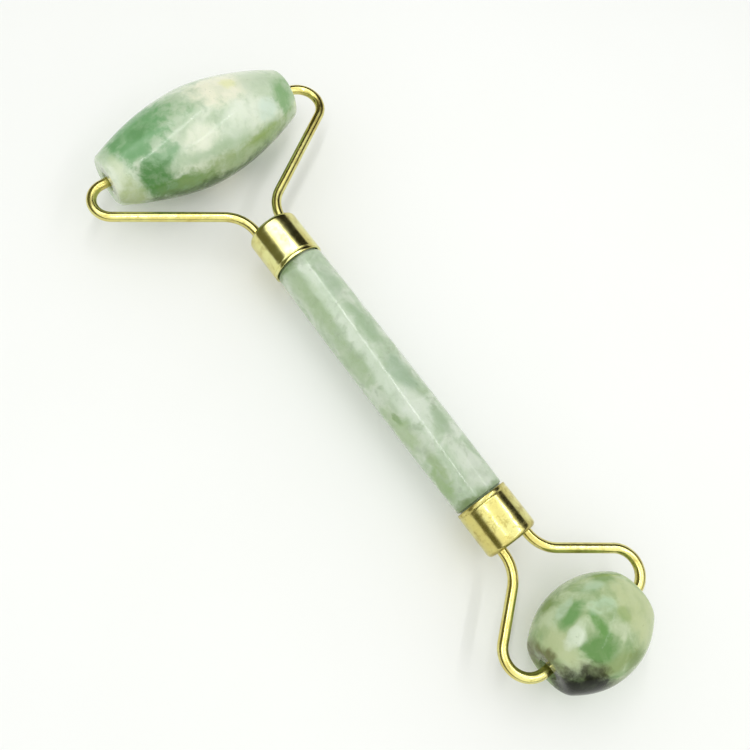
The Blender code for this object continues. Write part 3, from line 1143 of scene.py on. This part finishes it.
LARGE_JADE = JadeFinish(
    name="large_roller_jade", base=tone(188, 204, 176), pale=WHITE_GREEN, green=tone(150, 180, 142),
    axis=LongAxis.Y, radius_mm=9.5, cloud_size_mm=8.0,
    clouds_and_light_patches=(
        # painted light: a long pale band down the side at -66 degrees, drawn lighter because that side faces
        # the soft light
        CloudOrLightPatch(WHITE_AND_PAINTED_LIGHT, 2.0, -66, 15.0, 3.4, 0.6),
        CloudOrLightPatch(MID_GREEN, -13.4, -22, 8.4, 7.4),
        CloudOrLightPatch(MID_GREEN, -16.2, 8, 4.0, 3.2),
        CloudOrLightPatch(tone(98, 144, 92), -14.0, -10, 3.4, 1.6, 0.7),
        CloudOrLightPatch(tone(104, 150, 98), -18.5, -30, 1.8, 3.0, 0.7),
        CloudOrLightPatch(tone(138, 174, 134), -12.5, 38, 4.4, 2.4, 0.95),
        CloudOrLightPatch(DEEP_GREEN, -14.3, 64, 4.0, 4.8),
        CloudOrLightPatch(DEEP_GREEN, -8.4, 88, 6.0, 3.4),
        CloudOrLightPatch(OLIVE_GREEN, 5.0, 86, 17.0, 4.4, 0.8),
        # painted shade: a dark olive band the full length of the underside at 118 degrees, where the barrel
        # sits in shadow
        CloudOrLightPatch(tone(68, 94, 40), 0.0, 118, 22.0, 4.8, 1.0),
        CloudOrLightPatch(tone(138, 162, 92), 12.0, 71, 5.0, 1.3, 0.6),
        CloudOrLightPatch(CREAM, 6.5, -14, 6.2, 4.4, 0.95),
        CloudOrLightPatch(YELLOW_CREAM, 8.5, -12, 1.7, 1.5, 0.8),
        CloudOrLightPatch(tone(166, 188, 154), -2.0, 53, 9.0, 1.7, 0.7),
        CloudOrLightPatch(tone(230, 233, 214), -2.5, 34, 4.2, 2.4, 0.7),
        CloudOrLightPatch(WHITE_AND_PAINTED_LIGHT, 7.5, 33, 6.0, 3.0, 0.5),
        CloudOrLightPatch(BLUE_GREEN, 14.0, 42, 3.0, 2.6, 0.8),
        CloudOrLightPatch(tone(132, 168, 118), 19.2, 36, 2.8, 5.6, 0.95),
        CloudOrLightPatch(tone(126, 164, 114), 15.8, 22, 1.7, 1.3, 0.9),
        CloudOrLightPatch(GREY_GREEN, 16.0, -6, 5.0, 3.6, 0.7),
        CloudOrLightPatch(tone(204, 214, 182), -20.6, 35, 1.7, 6.0, 0.7),
        CloudOrLightPatch(tone(160, 176, 124), -20.2, 90, 2.6, 6.0, 0.8),
        CloudOrLightPatch(DEEP_GREEN, 9.0, 170, 5.0, 5.0, 0.8),
        CloudOrLightPatch(MID_GREEN, -6.0, -150, 6.0, 5.0, 0.8),
        CloudOrLightPatch(CREAM, 2.0, 142, 5.0, 3.0, 0.8),
    ))

SMALL_JADE = JadeFinish(
    name="small_roller_jade", base=tone(148, 170, 124), pale=tone(182, 197, 160), green=tone(112, 146, 88),
    axis=LongAxis.Y, radius_mm=9.0, cloud_size_mm=5.0, index=1.24, fray=1.0,
    clouds_and_light_patches=(
        CloudOrLightPatch(tone(186, 195, 150), 7.5, 12, 4.4, 8.0, 0.85),
        CloudOrLightPatch(tone(180, 190, 146), -9.0, -20, 2.4, 5.4, 0.8),
        CloudOrLightPatch(tone(104, 143, 82), -3.5, 9, 2.9, 3.0),
        CloudOrLightPatch(tone(106, 148, 82), -1.2, -9, 1.5, 2.4),
        CloudOrLightPatch(tone(112, 152, 94), -2.8, -38, 3.4, 1.4),
        # painted highlight: a soft pale blob where a blurred highlight shows
        CloudOrLightPatch(tone(208, 218, 198), -5.6, -18, 2.6, 1.4, 0.75),
        CloudOrLightPatch(tone(174, 196, 166), -3.6, -51, 3.0, 1.0, 0.8),
        CloudOrLightPatch(tone(180, 204, 172), 1.4, -22, 2.6, 1.6, 0.8),
        CloudOrLightPatch(tone(196, 206, 174), 1.2, 6, 1.6, 2.0, 0.7),
        CloudOrLightPatch(tone(176, 198, 168), 3.5, -48, 3.4, 1.2, 0.7),
        CloudOrLightPatch(tone(126, 154, 94), 7.0, -53, 2.1, 2.2, 0.95),
        CloudOrLightPatch(tone(122, 146, 84), -4.4, -78, 1.9, 2.0, 0.95),
        CloudOrLightPatch(tone(146, 168, 108), 3.6, -4, 1.6, 1.1, 0.6),
        CloudOrLightPatch(tone(118, 136, 80), 1.4, 46, 2.6, 1.8, 0.8),
        CloudOrLightPatch(tone(140, 156, 98), -2.0, 34, 4.0, 1.6, 0.6),
        CloudOrLightPatch(tone(84, 86, 50), -8.0, 34, 3.4, 2.4, 0.8),
        CloudOrLightPatch(SMOKE, -9.0, 64, 4.8, 6.2, 1.0, solidity=0.95),
        CloudOrLightPatch(SMOKE, -5.4, 80, 3.4, 3.8, 0.9, solidity=0.95),
        CloudOrLightPatch(tone(118, 130, 86), -1.0, 78, 5.0, 3.4, 0.7),
        CloudOrLightPatch(tone(92, 90, 50), -11.8, -70, 1.5, 11.0, 0.85),
        CloudOrLightPatch(SMOKE, -11.8, 72, 2.6, 8.4, 1.0, solidity=0.95),
        CloudOrLightPatch(tone(104, 148, 84), 3.0, 160, 3.5, 3.5, 0.9),
        CloudOrLightPatch(tone(206, 210, 170), -3.0, -150, 3.5, 3.5, 0.8),
    ))

HANDLE_JADE = JadeFinish(
    name="handle_jade", base=tone(174, 191, 164), pale=tone(196, 206, 188), green=tone(156, 174, 142),
    axis=LongAxis.X, radius_mm=5.3, cloud_size_mm=5.0, swirl=0.9, fray=1.3, speckle=0.4, mottle=0.35,
    clouds_and_light_patches=(
        # painted highlight: two long pale streaks along the top, the rod's broad band of sheen
        CloudOrLightPatch(tone(200, 213, 193), -20.0, -18, 9.0, 1.5, 0.6),
        CloudOrLightPatch(tone(204, 215, 198), 2.0, -22, 14.0, 1.4, 0.6),
        CloudOrLightPatch(tone(154, 176, 134), -21.0, -50, 9.0, 2.2, 0.6),
        CloudOrLightPatch(tone(152, 174, 132), -6.0, -62, 6.0, 2.0, 0.5),
        CloudOrLightPatch(tone(150, 174, 124), 11.0, -70, 5.5, 2.6, 0.65),
        CloudOrLightPatch(tone(118, 144, 94), 9.0, -57, 1.7, 0.8, 0.6),
        CloudOrLightPatch(tone(134, 162, 104), 24.0, -74, 4.0, 2.2, 0.75),
        CloudOrLightPatch(tone(144, 168, 116), 20.5, -49, 3.4, 1.1, 0.6),
        CloudOrLightPatch(tone(208, 216, 202), 9.0, -4, 4.6, 2.2, 0.75),
        CloudOrLightPatch(tone(210, 217, 204), 17.5, 31, 1.6, 1.5, 0.7),
        CloudOrLightPatch(tone(204, 211, 197), 26.0, 14, 4.0, 2.6, 0.7),
        CloudOrLightPatch(tone(150, 172, 146), 1.5, 17, 4.2, 2.2, 0.7),
        CloudOrLightPatch(tone(154, 174, 144), 14.5, 13, 3.0, 1.5, 0.7),
        CloudOrLightPatch(tone(152, 175, 143), -10.5, 17, 4.5, 2.0, 0.65),
        CloudOrLightPatch(tone(156, 177, 150), -22.0, 12, 4.0, 1.8, 0.5),
        # painted shade and painted dark reflection beside each ferrule, where the rod meets the brass; partly
        # the glue's own darker tone
        CloudOrLightPatch(tone(104, 127, 78), -30.4, -68, 2.0, 5.0, 0.8),
        CloudOrLightPatch(tone(106, 127, 78), 30.4, -68, 1.9, 6.0, 0.85),
        CloudOrLightPatch(tone(120, 142, 100), 30.4, 20, 1.2, 5.0, 0.7),
        CloudOrLightPatch(tone(160, 178, 142), 0.0, 175, 14.0, 4.0, 0.7),
    ))

# the colour of the tarnished patches, also used as painted shade along the ferrules' mouth and nose
TARNISH_AND_RIM_SHADE = (0.36, 0.29, 0.07)
COPPER = (0.34, 0.16, 0.06)
ROUND_THE_CUP = (1.0, 0.06, 0.06)
ALONG_THE_WIRE = (0.3, 0.3, 3.0)

BRIGHT_FERRULE = BrassFinish(
    name="polished_brass", metal=(0.77, 0.76, 0.34), tarnish_and_rim_shade_colour=TARNISH_AND_RIM_SHADE, copper=COPPER, roughness=0.15,
    tarnish_and_rim_shade_share=0.40, line_stretch=ROUND_THE_CUP, rim_shade_mm=(0.3, 9.7))
WORN_FERRULE = BrassFinish(
    name="worn_brass", metal=(0.72, 0.69, 0.28), tarnish_and_rim_shade_colour=TARNISH_AND_RIM_SHADE, copper=COPPER, roughness=0.17,
    tarnish_and_rim_shade_share=0.75, line_stretch=ROUND_THE_CUP, rim_shade_mm=(0.8, 9.0))
WIRE_BRASS = BrassFinish(
    name="brass_wire", metal=(0.72, 0.68, 0.26), tarnish_and_rim_shade_colour=TARNISH_AND_RIM_SHADE, copper=COPPER, roughness=0.18,
    tarnish_and_rim_shade_share=0.5, line_stretch=ALONG_THE_WIRE)
# painted shade: the bushes are near black, standing for the dark inside each bore round the wire
BUSH_PAINTED_SHADE = DullFinish(
    name="dark_nylon", colour=(0.035, 0.03, 0.02), shade=(0.06, 0.05, 0.035), roughness=0.6, grain_mm=0.25)
PLUG_RESIN = DullFinish(
    name="cured_resin", colour=(0.22, 0.17, 0.07), shade=(0.30, 0.24, 0.12), roughness=0.45, grain_mm=0.4)

BAR_HEIGHT = 0.26
BAR_WIDTH = 0.012
BAR_LENGTH = 0.27
ACROSS_THE_BARS = Vector((0.785, 0.62, 0.0))


def light_bars() -> tuple[Panel, ...]:
    """Return the lights: two long narrow bars, side by side over the table."""
    turn = math.degrees(math.atan2(ACROSS_THE_BARS.y, ACROSS_THE_BARS.x))
    panels = []
    for name, offset, radiance in (("near_bar", -0.05, 12.0), ("far_bar", 0.14, 10.5)):
        middle = ACROSS_THE_BARS * offset + Vector((0, 0, BAR_HEIGHT))
        under = (middle.x, middle.y, 0.0)
        panels.append(Panel(name, tuple(middle), BAR_WIDTH, BAR_LENGTH, radiance, under, turn))
    return tuple(panels)


def dress_cad_nodes() -> None:
    """Give the bushes and plugs, which keep their CAD shapes, their finishes."""
    # the bushes' near black is painted shade for the bores
    bush_shade = BUSH_PAINTED_SHADE.material()
    resin = PLUG_RESIN.material()
    for name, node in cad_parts.items():
        if "_bush_" in name or name.endswith("resin_plug"):
            finish = bush_shade if "_bush_" in name else resin
            node.data.materials.clear()
            node.data.materials.append(finish)
            log.info("%s: %s", name, finish.name)


def main() -> None:
    """Build the roller and its studio."""
    logging.basicConfig(level=logging.INFO, format="%(name)s %(message)s")
    layout = Layout.from_frame()
    dress_cad_nodes()
    JadeHandle(HANDLE_JADE).build(layout)
    Ferrule("large", -1, BRIGHT_FERRULE).build(layout)
    Ferrule("small", 1, WORN_FERRULE).build(layout)
    ForkWire("large", -1, WIRE_BRASS, reach=27.3 * MM,
             right=Arm(23.0 * MM, 58.5, 7.5 * MM, 4.8 * MM), left=Arm(23.9 * MM, 57.9, 7.7 * MM, 4.1 * MM),
             side_shift=0.1 * MM, roller_side=0.0, stub=15.88 * MM).build(layout)
    ForkWire("small", 1, WIRE_BRASS, reach=21.75 * MM,
             right=Arm(12.6 * MM, 53.9, 7.2 * MM, 4.85 * MM), left=Arm(10.95 * MM, 50.9, 8.1 * MM, 4.85 * MM),
             side_shift=0.2 * MM, roller_side=1.15 * MM, stub=4.76 * MM).build(layout)
    JadeRoller("large", half_length=22.38 * MM, radius=10.7 * MM, end_radius=5.4 * MM, fullness=1.83,
               edge=1.2 * MM, finish=LARGE_JADE).build(layout, layout.large_axle)
    JadeRoller("small", half_length=11.26 * MM, radius=9.9 * MM, end_radius=5.5 * MM, fullness=2.16,
               edge=2.2 * MM, finish=SMALL_JADE).build(layout, layout.small_axle)
    Studio(panels=light_bars()).build()


if __name__ == "__main__":
    main()
